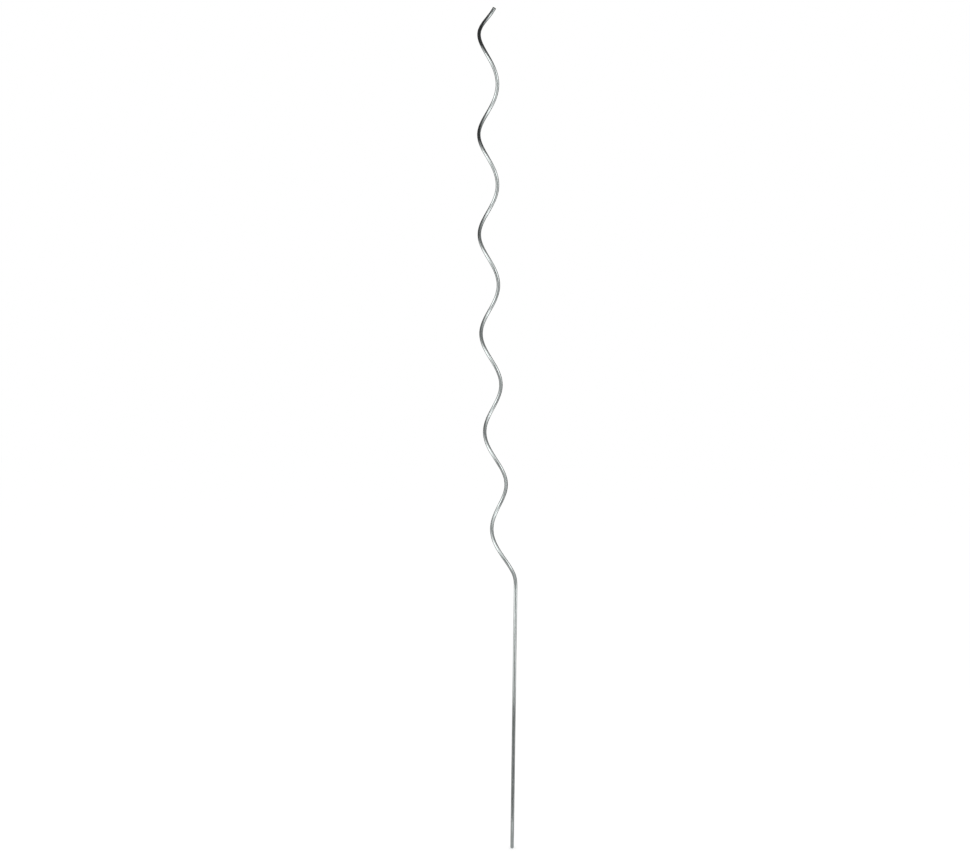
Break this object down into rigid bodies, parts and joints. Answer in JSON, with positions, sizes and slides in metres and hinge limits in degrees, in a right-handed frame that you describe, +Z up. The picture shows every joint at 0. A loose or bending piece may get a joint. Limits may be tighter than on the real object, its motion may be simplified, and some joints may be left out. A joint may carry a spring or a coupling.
{
  "type": "spiral tomato stake",
  "caption": "Tall plant stake bent from one galvanised steel rod: a straight leg to push into the soil and a long open coil above it that holds the stem.",
  "frame": {"origin": "centre of the flat end of the foot", "axes": "+Z up along the straight leg; the coil's axis leans away from the leg towards -X; seen from -Y the stake looks as in the picture, with +X to the right"},
  "size_m": [0.1005, 0.0466, 1.8],
  "materials": {
    "galvanised_steel": "bright zinc coating on drawn steel rod, semi-gloss with fine lines along the rod"
  },
  "bodies": {
    "root": {"spiral_rod": "galvanised_steel"}
  },
  "joints": []
}
